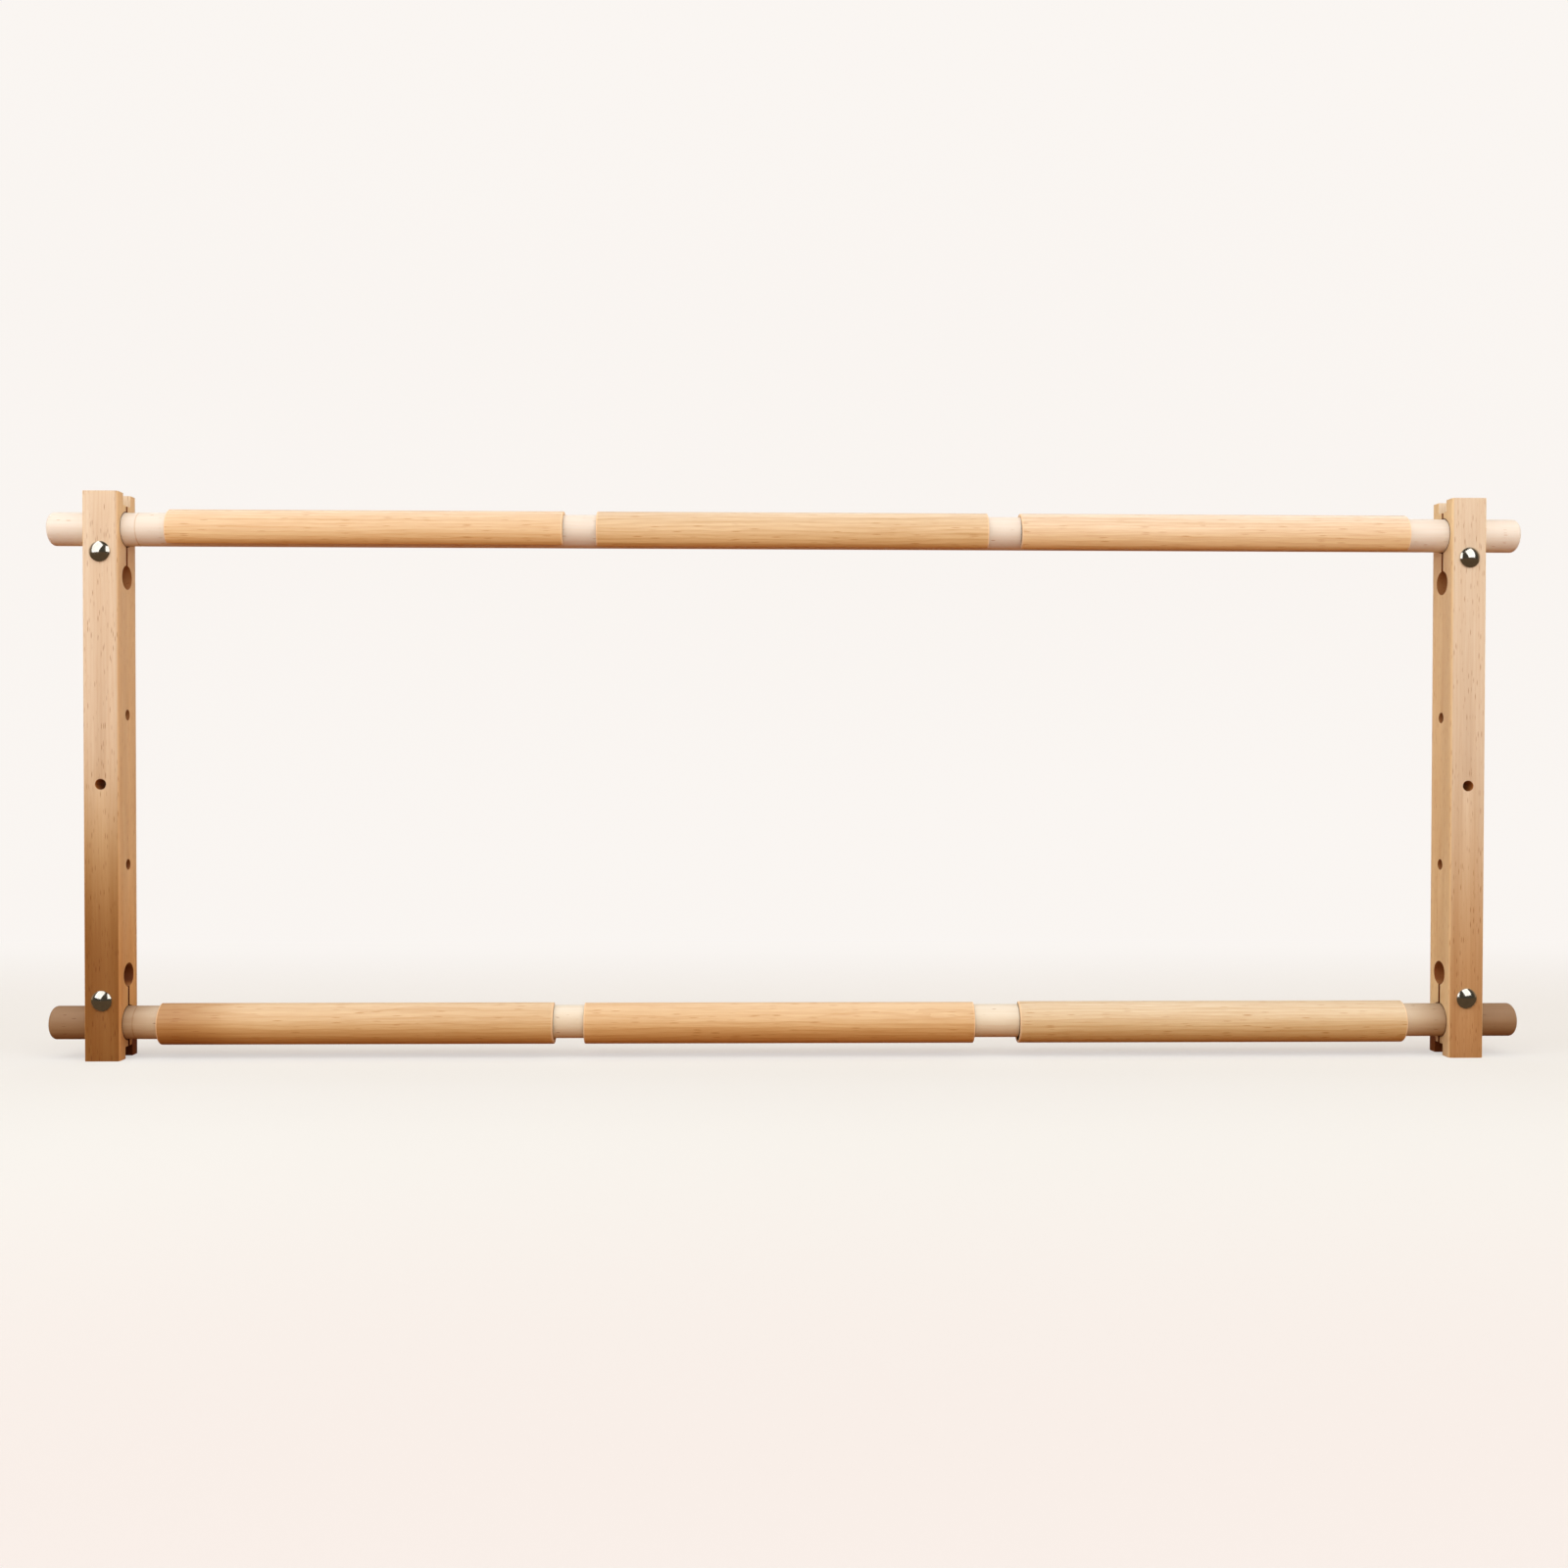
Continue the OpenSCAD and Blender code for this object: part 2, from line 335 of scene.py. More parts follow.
def deepen(tree, colour, tint, share):
    """The colour times a power of a tint, which darkens it and keeps it rich."""
    depth = add(tree, "ShaderNodeGamma", {"Color": linear(tint), "Gamma": share}).outputs[0]
    return mix_colour(tree, 1.0, colour, depth, "MULTIPLY")


def wood(name, light, dark, fleck, grain, origin, pith, fleck_share, fleck_along, contrast,
         roughness, edge=None, painted_shade=(), flank=None, under=None, cut_tone_and_shade=None, rings=()):
    """Wood with growth rings, streaks, fibres and flecks that run along one axis.

    grain is the axis along the fibres, origin shifts the pattern so that each piece is a
    different cut, and pith is the rings' centre in millimetres from the piece's own axis.
    edge is the colour of a painted highlight where the attribute "end_highlight" marks the
    ends of a piece.
    painted_shade holds (axis, from, to, colour, faces): painted shade, in which along an
    axis, from one distance in millimetres to another, the colour deepens. It does so on the
    faces that look along the axis faces, or on all if that is None.
    flank is (axis, colour): painted light and shade, a tint of the faces that look along an axis.
    under is painted shading, a tint towards the underside.
    cut_tone_and_shade is the tint of faces cut by saw or drill, where the attribute "cut" marks
    them: their own darker tone, and painted shade inside the saw cuts and holes.
    rings are (inner, outer, distance, colour): a tint that fades out from the inner to the
    outer distance from something, such as the axis of a hole.
    aged, flank, under and the tints in rings hold part of the photograph's shading."""
    material, tree, shader = new_material(name)
    where = add(tree, "ShaderNodeTexCoord").outputs["Object"]
    cut = add(tree, "ShaderNodeMapping", {
        "Vector": where, "Scale": (1 / MM,) * 3, "Location": origin}).outputs[0]
    late = late_wood(tree, cut, grain, pith)
    streak = grain_noise(tree, cut, grain, *STREAK)
    band = grain_noise(tree, cut, grain, *BAND)
    grain_line = grain_noise(tree, cut, grain, *GRAIN_LINE)
    fibre = grain_noise(tree, cut, grain, *FIBRE)
    dash = flecks(tree, cut, grain, fleck_share, fleck_along)

    tone = math_node(tree, "MULTIPLY", late, LATE_SHARE * contrast)
    for value, share in ((streak, STREAK_SHARE), (band, BAND_SHARE),
                         (grain_line, GRAIN_LINE_SHARE), (fibre, FIBRE_SHARE)):
        centred = math_node(tree, "SUBTRACT", value, NOISE_MIDDLE)
        tone = math_node(tree, "MULTIPLY_ADD", centred, share * contrast, tone)
    tone = math_node(tree, "ADD", tone, MEAN_TONE, clamp=True)
    colour = mix_colour(tree, tone, linear(light), linear(dark))

    # Painted shade, darker along an axis
    for axis, start, end, deep, faces in painted_shade:
        share = painted_shade_share(tree, where, band, axis, start, end, faces)
        colour = deepen(tree, colour, deep, share)
    # Painted light and shade on the faces that look along an axis
    if flank:
        axis, tint = flank
        colour = mix_colour(tree, facing(tree, axis), colour, linear(tint), "MULTIPLY")
    # Painted shade towards the underside
    if under:
        normal = add(tree, "ShaderNodeTexCoord").outputs["Normal"]
        upward = add(tree, "ShaderNodeSeparateXYZ", {0: normal}).outputs[Z_AXIS]
        below = add(tree, "ShaderNodeMapRange", {
            0: upward, 1: UNDER_SPAN, 2: -UNDER_SPAN}).outputs[0]
        colour = mix_colour(tree, below, colour, linear(under), "MULTIPLY")
    rough = roughness
    # The cut faces' own darker tone, with painted shade in the saw cuts and holes
    if cut_tone_and_shade:
        inside = add(tree, "ShaderNodeAttribute", attribute_name="cut").outputs["Fac"]
        colour = deepen(tree, colour, cut_tone_and_shade, inside)
        rough = math_node(tree, "MULTIPLY_ADD", inside, SAWN_ROUGHNESS - roughness, roughness)
    for inner, outer, distance_to, tint in rings:
        share = ramp(tree, distance_to(tree, where), inner * MM, outer * MM, 1.0, 0.0)
        colour = mix_colour(tree, share, colour, linear(tint), "MULTIPLY")
    darker = math_node(tree, "MULTIPLY", dash, FLECK_STRENGTH)
    colour = mix_colour(tree, darker, colour, linear(fleck), "MULTIPLY")
    # A painted highlight on the ends of a piece
    if edge:
        end_highlight = add(tree, "ShaderNodeAttribute", attribute_name="end_highlight").outputs["Fac"]
        colour = mix_colour(tree, end_highlight, colour, linear(edge))
        rough = math_node(tree, "MULTIPLY_ADD", end_highlight, END_HIGHLIGHT_ROUGHNESS, roughness)
    tree.links.new(colour, shader.inputs["Base Color"])

    centred = math_node(tree, "SUBTRACT", fibre, NOISE_MIDDLE)
    gloss = math_node(tree, "MULTIPLY_ADD", centred, FIBRE_ROUGHNESS, rough)
    tree.links.new(gloss, shader.inputs["Roughness"])
    shader.inputs["IOR"].default_value = WOOD_IOR
    height = math_node(tree, "MULTIPLY_ADD", dash, FLECK_DEPTH, fibre)
    height = math_node(tree, "MULTIPLY_ADD", late, LATE_DEPTH, height)
    bump = add(tree, "ShaderNodeBump", {
        "Height": height, "Distance": WOOD_BUMP_MM * MM, "Strength": WOOD_BUMP}).outputs[0]
    tree.links.new(bump, shader.inputs["Normal"])
    return material


# Nickel: the scales are waves per metre, and a bloom is a duller, darker cloud
BLOOM_SCALE = 260.0
BLOOM_SHADE = 0.93
BLOOM_TINTED = (0.35, 0.75)
BLOOM_DULLED = (0.3, 0.8)
BLOOM_ROUGHNESS = 0.10
SWIRL_SCALE = 2600.0
SWIRL_MM = 0.004
SWIRL_BUMP = 0.35
NICKEL_TINTS = {"plate": (228, 223, 212), "cast": (204, 199, 188)}
NICKEL_ROUGHNESS = {"plate": 0.10, "cast": 0.24}


def nickel(name, tint, roughness):
    """Nickel plate: polished, with faint swirls, and a slightly duller bloom in places."""
    material, tree, shader = new_material(name)
    where = add(tree, "ShaderNodeTexCoord").outputs["Object"]
    bloom = add(tree, "ShaderNodeTexNoise", {
        "Vector": where, "Scale": BLOOM_SCALE, "Detail": 4.0, "Roughness": 0.6}).outputs["Fac"]
    swirl = add(tree, "ShaderNodeTexNoise", {
        "Vector": where, "Scale": SWIRL_SCALE, "Detail": 2.0, "Roughness": 0.5}).outputs["Fac"]
    shade = mix_colour(tree, ramp(tree, bloom, *BLOOM_TINTED), linear(tint),
                       linear([value * BLOOM_SHADE for value in tint]))
    tree.links.new(shade, shader.inputs["Base Color"])
    tree.links.new(ramp(tree, bloom, *BLOOM_DULLED, roughness, roughness + BLOOM_ROUGHNESS),
                   shader.inputs["Roughness"])
    shader.inputs["Metallic"].default_value = 1.0
    bump = add(tree, "ShaderNodeBump", {
        "Height": swirl, "Distance": SWIRL_MM * MM, "Strength": SWIRL_BUMP}).outputs[0]
    tree.links.new(bump, shader.inputs["Normal"])
    return material


def paint(piece, material):
    piece.data.materials.clear()
    piece.data.materials.append(material)
    for face in piece.data.polygons:
        face.material_index = 0


def hand_over(piece, node, body, material):
    """Material and body of a piece that stands for a CAD node."""
    paint(piece, material)
    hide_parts(node)
    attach(piece, body)


# Arms

ARM_EASE = 0.35
EASE_SEGMENTS = 3
EASE_ABOVE_DEGREES = 40
WELD_MM = 0.002
FLAT_DEGREES = 0.4
ARM_SMOOTH_DEGREES = 35
# A face this deep under an arm's outer faces belongs to a hole or a cut
SKIN = 0.62
MOUTH_DEPTH = 7.0
# Half the band round the roller's middle that holds the walls of the saw cut
KERF = 1.6
KERF_FACING = 0.3
# How strongly the walls of the saw cut and of the holes take the cut tone and its painted shade
KERF_MARK = 1.0
HOLE_MARK = 0.52
# Middle of the painted shade patch on the lower rear jaw, under the roller, and how much narrower it
# is in depth
JAW_Y = 2.5
JAW_Z = 4.0
JAW_SQUEEZE = 1.6


def make_arm(side):
    """The CAD arm with its flat faces whole again and every sharp edge eased."""
    node = f"{side}_arm"
    bm = bmesh.new()
    bm.from_mesh(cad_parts[node].data)
    bmesh.ops.scale(bm, vec=(1 / MM,) * 3, verts=bm.verts)
    bmesh.ops.remove_doubles(bm, verts=bm.verts, dist=WELD_MM)
    bmesh.ops.dissolve_limit(bm, angle_limit=math.radians(FLAT_DEGREES),
                             verts=bm.verts, edges=bm.edges)
    piece = link_mesh(f"{side}_arm_wood", bm)
    bevel = piece.modifiers.new("ease", "BEVEL")
    bevel.width = ARM_EASE * MM
    bevel.segments = EASE_SEGMENTS
    bevel.limit_method = "ANGLE"
    bevel.angle_limit = math.radians(EASE_ABOVE_DEGREES)
    bevel.miter_outer = "MITER_SHARP"
    bevel.harden_normals = False
    apply_modifiers(piece)
    smooth_by_angle(piece, ARM_SMOOTH_DEGREES)
    mark_cuts(piece)
    return piece


def mark_cuts(piece):
    """Marks the walls of the saw cuts, and more faintly those of the holes. The mouths and
    the ends of the arm stay unmarked."""
    low = Vector([min(vert.co[i] for vert in piece.data.vertices) for i in range(3)])
    high = Vector([max(vert.co[i] for vert in piece.data.vertices) for i in range(3)])
    marks = piece.data.attributes.new("cut", "FLOAT", "FACE")
    for face, mark in zip(piece.data.polygons, marks.data):
        depth = min(min(face.center - low), min(high - face.center)) / MM
        ends = min(face.center.z - low.z, high.z - face.center.z) / MM
        if ends < MOUTH_DEPTH + SKIN:
            continue
        # Walls of holes and of the saw cut get the cut tone with painted shade
        if depth > SKIN:
            mark.value = HOLE_MARK
        if abs(face.center.y / MM - ROLLER_Y) < KERF and abs(face.normal.y) > KERF_FACING:
            mark.value = KERF_MARK


def hole_distance(tree, where):
    """Distance from the nearer roller axis, which the two ends of an arm mirror."""
    parts = add(tree, "ShaderNodeSeparateXYZ", {0: where}).outputs
    middle = (ROLLER_Z["upper"] + ROLLER_Z["lower"]) / 2 * MM
    half = (ROLLER_Z["upper"] - ROLLER_Z["lower"]) / 2 * MM
    folded = math_node(tree, "ABSOLUTE", math_node(tree, "SUBTRACT", parts[Z_AXIS], middle))
    across = add(tree, "ShaderNodeCombineXYZ", {
        1: math_node(tree, "SUBTRACT", parts[Y_AXIS], ROLLER_Y * MM),
        2: math_node(tree, "SUBTRACT", folded, half)}).outputs[0]
    return length_of(tree, across)


def foot_distance(tree, where):
    """Distance from the middle of the painted shade patch on the lower rear jaw."""
    parts = add(tree, "ShaderNodeSeparateXYZ", {0: where}).outputs
    back = math_node(tree, "SUBTRACT", parts[Y_AXIS], JAW_Y * MM)
    across = add(tree, "ShaderNodeCombineXYZ", {
        1: math_node(tree, "MULTIPLY", back, JAW_SQUEEZE),
        2: math_node(tree, "SUBTRACT", parts[Z_AXIS], JAW_Z * MM)}).outputs[0]
    return length_of(tree, across)


# Painted shadow of the gap round the roller holes, and a painted shade patch on the lower rear jaw
# under the roller
ARM_PAINTED_SHADE = ((10.35, 11.0, hole_distance, (96, 58, 32)),
             (6.0, 9.2, foot_distance, (150, 100, 66)))
CUT_TONE_AND_SHADE = (150, 85, 38)
# The entries that darken the fronts, and on the left arm the sides, towards the bottom are painted
# shade; the side tints are painted light and shade
ARM_LOOK = {
    "left": dict(light=(225, 214, 194), dark=(208, 183, 151), fleck=(192, 156, 120),
                 origin=(13.0, 47.0, 5.0), pith=(-90.0, 38.0, 0.0),
                 painted_shade=((Z_AXIS, 233, 53, (172, 130, 77), Y_AXIS),
                       (Z_AXIS, 180, 30, (242, 216, 186), X_AXIS)),
                 flank=(X_AXIS, (268, 254, 224))),
    "right": dict(light=(223, 213, 194), dark=(206, 184, 154), fleck=(202, 170, 136),
                  origin=(-31.0, 83.0, 211.0), pith=(75.0, 60.0, 0.0),
                  painted_shade=((Z_AXIS, 240, 5, (224, 190, 149), Y_AXIS),),
                  flank=(X_AXIS, (282, 276, 250))),
}
for side in SIDES:
    beech = wood(f"beech_{side}_arm", grain=Z_AXIS, fleck_share=0.85, fleck_along=8.0,
                 contrast=0.62, roughness=0.46, cut_tone_and_shade=CUT_TONE_AND_SHADE, rings=ARM_PAINTED_SHADE,
                 **ARM_LOOK[side])
    hand_over(make_arm(side), f"{side}_arm", f"{side}_arm", beech)


# Rollers, with the ring mark's distance from the middle of its roller

RING_MARK = {"upper": 391.0, "lower": 393.7}
RING_WIDTH = 0.6
RING_DEPTH = 0.12
# Section of the mark, as shares of its half width and its depth
RING_SECTION = ((-1, 0), (-0.6, 0.1), (-0.25, 0.85), (0, 1), (0.25, 0.85), (0.6, 0.1), (1, 0))
MARK_TINT = (236, 224, 212)
MARK_FADE = (0.1, 0.6)
ROLLER_STEPS = 90
ROLLER_SEGMENTS = 96
ROLLER_END_STEPS = 10
ROLLER_SMOOTH_DEGREES = 40


def mark_distance(row):
    """A function that gives the distance along a roller from its ring mark."""
    def distance(tree, where):
        along = add(tree, "ShaderNodeSeparateXYZ", {0: where}).outputs[X_AXIS]
        return math_node(tree, "ABSOLUTE", math_node(tree, "ADD", along, RING_MARK[row] * MM))
    return distance


def make_roller(row):
    """A turned dowel with rounded ends and a faint ring mark by the left arm."""
    low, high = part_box(f"{row}_roller")
    axis = roller_axis(row)
    half = (high.x - low.x) / 2 / MM
    inner = ROLLER_R - ROLLER_END_R
    start = half - ROLLER_END_R
    rounding = arc((start, inner), ROLLER_END_R, 0, 90, ROLLER_END_STEPS)
    left = [(-along, radius) for along, radius in rounding]
    right = list(reversed(rounding))
    mark_at = RING_MARK[row]
    mark = [(-mark_at + RING_WIDTH * t, ROLLER_R - RING_DEPTH * d)
            for t, d in RING_SECTION]
    body = []
    for i in range(1, ROLLER_STEPS):
        along = -half + 2 * half * i / ROLLER_STEPS
        if abs(along + mark_at) > 2 * RING_WIDTH and abs(along) < start - 1:
            body.append((along, ROLLER_R))
    shaft = sorted(mark + body)
    profile = [(-half, 0), (-half, inner / 2)] + left + shaft + right
    profile += [(half, inner / 2), (half, 0)]
    bm, _ = lathe(profile, ROLLER_SEGMENTS,
                  lambda along, across, up: (along, axis.y + across, axis.z + up))
    return link_mesh(f"{row}_roller_dowel", bm, ROLLER_SMOOTH_DEGREES)


# The lower roller darkens towards its ends by the arms with painted shade, and both rollers'
# undersides take painted shading
ROLLER_LOOK = {
    "upper": dict(light=(230, 233, 235), dark=(221, 216, 211), fleck=(196, 158, 122),
                  origin=(400.0, 13.0, 77.0), pith=(0.0, 44.0, 160.0), under=(269, 268, 256)),
    "lower": dict(light=(235, 242, 240), dark=(218, 211, 197), fleck=(166, 126, 92),
                  origin=(-250.0, 91.0, 31.0), pith=(0.0, -38.0, 90.0),
                  under=(262, 250, 222), painted_shade=((X_AXIS, 336, 420, (164, 136, 112), None),)),
}
for row in ROWS:
    birch = wood(f"birch_{row}_roller", grain=X_AXIS, fleck_share=0.16, fleck_along=6.0,
                 contrast=0.55, roughness=0.58,
                 rings=((*MARK_FADE, mark_distance(row), MARK_TINT),), **ROLLER_LOOK[row])
    hand_over(make_roller(row), f"{row}_roller", f"{row}_roller", birch)


# Clips

CLIP_EASE = 0.45
CLIP_EASE_STEPS = 4
LIP_EASE = 0.35
LIP_REACH = 0.45
CLIP_ARC_STEPS = 72
CLIP_STEPS = 24
CLIP_SMOOTH_DEGREES = 50
# The painted highlight at each end of a clip, and the stations just inside and outside it
END_LINE = 0.62
END_STATIONS = (0.95, 1.4)
# Strength of the painted highlight on the ends
END_HIGHLIGHT = 0.55


def rounded(points, corners, radius, steps=4):
    """A closed outline with a small arc in place of each listed corner."""
    made = []
    count = len(points)
    for i, point in enumerate(points):
        if i not in corners:
            made.append(point)
            continue
        here = Vector(point)
        before = Vector(points[i - 1]) - here
        after = Vector(points[(i + 1) % count]) - here
        reach = min(radius, before.length * LIP_REACH, after.length * LIP_REACH)
        a = here + before.normalized() * reach
        b = here + after.normalized() * reach
        for s in range(steps + 1):
            t = s / steps
            made.append(tuple((1 - t) ** 2 * a + 2 * t * (1 - t) * here + t ** 2 * b))
    return made


def clip_outline(turn):
    """Section of a clip round its own centre, open downwards and then turned."""
    half = CLIP_OPENING / 2
    flat_arc = math.degrees(LIP_FLAT / CLIP_OUTER_R)
    start = -90 + half
    # The flat leaves the round at its own slope and runs to the face of the lip
    leave = math.radians(start + flat_arc)
    corner = Vector((math.cos(leave), math.sin(leave))) * CLIP_OUTER_R
    slope = math.radians(start + flat_arc - 90 - LIP_SLOPE)
    along = Vector((math.cos(slope), math.sin(slope)))
    face = Vector((math.cos(math.radians(start)), math.sin(math.radians(start))))
    # Where the flat meets the lip's face, a line through the centre
    reach = (corner.x * face.y - corner.y * face.x) / (along.y * face.x - along.x * face.y)
    tip = corner + along * reach
    outer = arc((0, 0), CLIP_OUTER_R, start + flat_arc, 270 - half - flat_arc, CLIP_ARC_STEPS)
    inner = arc((0, 0), CLIP_BORE_R, 270 - half, start, CLIP_ARC_STEPS)
    mirrored = (-tip.x, tip.y)
    outline = [tuple(tip)] + outer + [mirrored] + inner
    lips = {0, len(outer) + 1, len(outer) + 2, len(outline) - 1}
    outline = rounded(outline, lips, LIP_EASE)
    c, s = math.cos(math.radians(turn)), math.sin(math.radians(turn))
    return [(x * c - y * s, x * s + y * c) for x, y in outline]


def inset(outline, amount):
    """The outline moved inwards by an amount, by each corner's two neighbours."""
    count = len(outline)
    moved = []
    for i in range(count):
        before = Vector(outline[i - 1])
        here = Vector(outline[i])
        after = Vector(outline[(i + 1) % count])
        along = ((here - before).normalized() + (after - here).normalized()).normalized()
        moved.append(tuple(here + Vector((-along.y, along.x)) * amount))
    return moved


def clip_stations(first, last):
    """Places along a clip, each with how far its section is drawn in there."""
    quarter = [i / CLIP_EASE_STEPS for i in range(CLIP_EASE_STEPS + 1)]
    eased = [(CLIP_EASE * (1 - math.sin(t * math.pi / 2)),
              CLIP_EASE * (1 - math.cos(t * math.pi / 2))) for t in quarter]
    stations = [(first + x, amount) for x, amount in reversed(eased)]
    stations += [(first + share * END_LINE, 0.0) for share in END_STATIONS]
    stations += [(first + (last - first) * i / CLIP_STEPS, 0.0) for i in range(1, CLIP_STEPS)]
    stations += [(last - share * END_LINE, 0.0) for share in reversed(END_STATIONS)]
    stations += [(last - x, amount) for x, amount in eased]
    return stations


def make_clip(row, place):
    """An open ring of wood along its roller, with eased lips and ends."""
    node = f"{row}_{place}_clip"
    low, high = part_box(node)
    axis = roller_axis(row)
    centre = (axis.y, axis.z - CLIP_HANG)
    turn = CLIP_TURN[row][PLACES.index(place)]
    outline = clip_outline(turn)
    first, last = low.x / MM, high.x / MM
    bm = bmesh.new()
    end_highlight = bm.verts.layers.float.new("end_highlight")
    rings = []
    for x, amount in clip_stations(first, last):
        shape = inset(outline, amount) if amount else outline
        ring = ring_of(bm, [(x, centre[0] + y, centre[1] + z) for y, z in shape])
        near = min(x - first, last - x)
        for vert in ring:
            vert[end_highlight] = END_HIGHLIGHT if near < END_LINE else 0.0
        rings.append(ring)
    for one, two in zip(rings, rings[1:]):
        join_rings(bm, one, two)
    for ring in (rings[0], rings[-1]):
        bmesh.ops.triangulate(bm, faces=[bm.faces.new(ring)])
    return link_mesh(f"{node}_wood", bm, CLIP_SMOOTH_DEGREES)


# Painted shade on the clips' undersides
CLIP_UNDERSIDE_SHADE = {"upper": (271, 248, 190), "lower": (262, 236, 170)}
# Light and dark tone, then the pattern's origin and the pith, as in wood
CLIP_LOOK = {
    ("upper", "left"): ((231, 222, 205), (206, 176, 138), (120.0, 7.0, 31.0), (0.0, -42.0, 55.0)),
    ("upper", "middle"): ((226, 216, 197), (195, 168, 130), (-340.0, 57.0, 131.0), (0.0, 66.0, 48.0)),
    ("upper", "right"): ((235, 231, 223), (208, 183, 153), (710.0, 23.0, -61.0), (0.0, -30.0, 72.0)),
    ("lower", "left"): ((224, 210, 183), (198, 166, 125), (-90.0, 37.0, 11.0), (0.0, 52.0, -45.0)),
    ("lower", "middle"): ((230, 214, 185), (204, 170, 127), (260.0, -77.0, 45.0), (0.0, -58.0, 36.0)),
    ("lower", "right"): ((226, 221, 204), (201, 177, 139), (-530.0, 71.0, 83.0), (0.0, 34.0, 64.0)),
}
# Painted shade on the lower left clip towards the left arm
CLIP_PAINTED_SHADE = {("lower", "left"): ((X_AXIS, 300, 372, (213, 189, 163), None),)}
for (row, place), (light, dark, origin, pith) in CLIP_LOOK.items():
    node = f"{row}_{place}_clip"
    # The edge colour is a painted highlight on the clip's ends
    stained = wood(f"beech_{node}", light=light, dark=dark, fleck=(214, 178, 132), grain=X_AXIS,
                   origin=origin, pith=pith, fleck_share=0.5, fleck_along=12.0, contrast=0.85,
                   roughness=0.44, edge=(252, 228, 196), under=CLIP_UNDERSIDE_SHADE[row],
                   painted_shade=CLIP_PAINTED_SHADE.get((row, place), ()))
    hand_over(make_clip(row, place), node, node, stained)


# Clamp hardware
HEAD_STEPS = 28
# The head's rim, as (along, inwards from its radius), from the dome to the wood
RIM_TOP = ((-0.12, 0.10), (0.02, 0.01))
RIM_FOOT = ((-0.12, 0.0), (-0.03, 0.05), (0.0, 0.16))
CORE_INSET = 0.03
NECK_INSET = 0.02
BOLT_SEGMENTS = 96
METAL_SMOOTH_DEGREES = 35
# Thread: gaps before and after it, then its section as (share of the pitch, share of the depth)
THREAD_START = 0.6
THREAD_END = 0.55
THREAD_SEGMENTS = 40
THREAD_SECTION = ((-0.46, 0.0), (-0.07, 1.0), (0.07, 1.0), (0.46, 0.0))
THREAD_RISE_TURNS = 0.6
THREAD_FALL_TURNS = 0.9
THREAD_INSET = 0.002
WASHER_SOFT_EDGE = 0.32
WASHER_CRISP_EDGE = 0.10
WASHER_EDGE_STEPS = 5
WASHER_SEGMENTS = 72
# Wing nut: how far hub and wings are drawn in before voxels melt them into one
NUT_SHRINK = 0.12
NUT_VOXEL = 0.26
NUT_SMOOTHING = 0.5
NUT_SMOOTHING_ROUNDS = 7
NUT_SMOOTH_DEGREES = 60
HUB_SEGMENTS = 64
WING_STEPS = 14
DRILL_EXTRA = 0.05
DRILL_START = -2
DRILL_SEGMENTS = 48


def clamp_point(row, side):
    """Bolt axis where it meets the front of the arm, in millimetres."""
    low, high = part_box(f"{row}_{side}_washer")
    arm_low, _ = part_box(f"{side}_arm")
    middle = (low + high) / 2 / MM
    return Vector((middle.x, arm_low.y / MM, middle.z))


def along_y(origin):
    return lambda along, across, up: (origin.x + across, origin.y + along, origin.z + up)


def make_bolt(row, side):
    """A domed head, a square neck and a shank with a helical thread."""
    origin = clamp_point(row, side)
    dome_height = HEAD_HEIGHT - HEAD_RIM
    dome_r = (HEAD_R ** 2 + dome_height ** 2) / (2 * dome_height)
    edge_angle = math.degrees(math.asin(HEAD_R / dome_r))
    dome = [(-HEAD_HEIGHT, 0)]
    for i in range(1, HEAD_STEPS):
        angle = math.radians(edge_angle * i / HEAD_STEPS)
        dome.append((-HEAD_HEIGHT + dome_r * (1 - math.cos(angle)), dome_r * math.sin(angle)))
    rim = [(-HEAD_RIM + along, HEAD_R - inwards) for along, inwards in RIM_TOP]
    rim += [(along, HEAD_R - inwards) for along, inwards in RIM_FOOT]
    core = BOLT_R - THREAD_DEPTH - CORE_INSET
    profile = dome + rim + [(0.0, core), (BOLT_LENGTH, core), (BOLT_LENGTH, 0)]
    bm, _ = lathe(profile, BOLT_SEGMENTS, along_y(origin))
    add_neck(bm, origin)
    add_thread(bm, origin)
    return link_mesh(f"{row}_{side}_bolt_metal", bm, METAL_SMOOTH_DEGREES)


def add_neck(bm, origin):
    """The square neck under a bolt's head."""
    half = BOLT_R - NECK_INSET
    square = [(half, half), (-half, half), (-half, -half), (half, -half)]
    near = ring_of(bm, [(origin.x + x, origin.y, origin.z + z) for x, z in square])
    far = ring_of(bm, [(origin.x + x, origin.y + NECK_LENGTH, origin.z + z) for x, z in square])
    join_rings(bm, near, far)
    bm.faces.new(near)
    bm.faces.new(far)


def add_thread(bm, origin):
    """A helical thread from behind the neck to the bolt's end, which it fades into."""
    start = NECK_LENGTH + THREAD_START
    turns = (BOLT_LENGTH - start - THREAD_END) / PITCH
    count = int(turns * THREAD_SEGMENTS)
    previous = None
    for i in range(count + 1):
        turn = i / THREAD_SEGMENTS
        angle = 2 * math.pi * turn
        fade = min(1.0, turn / THREAD_RISE_TURNS, (turns - turn) / THREAD_FALL_TURNS)
        points = []
        for shift, height in THREAD_SECTION:
            radius = BOLT_R - THREAD_DEPTH * (1 - max(height * fade, 0.0)) - THREAD_INSET
            along = start + PITCH * (turn + shift)
            points.append((origin.x + radius * math.cos(angle), origin.y + along,
                           origin.z - radius * math.sin(angle)))
        ring = ring_of(bm, points)
        if previous:
            for j in range(len(THREAD_SECTION) - 1):
                bm.faces.new((previous[j], previous[j + 1], ring[j + 1], ring[j]))
        previous = ring


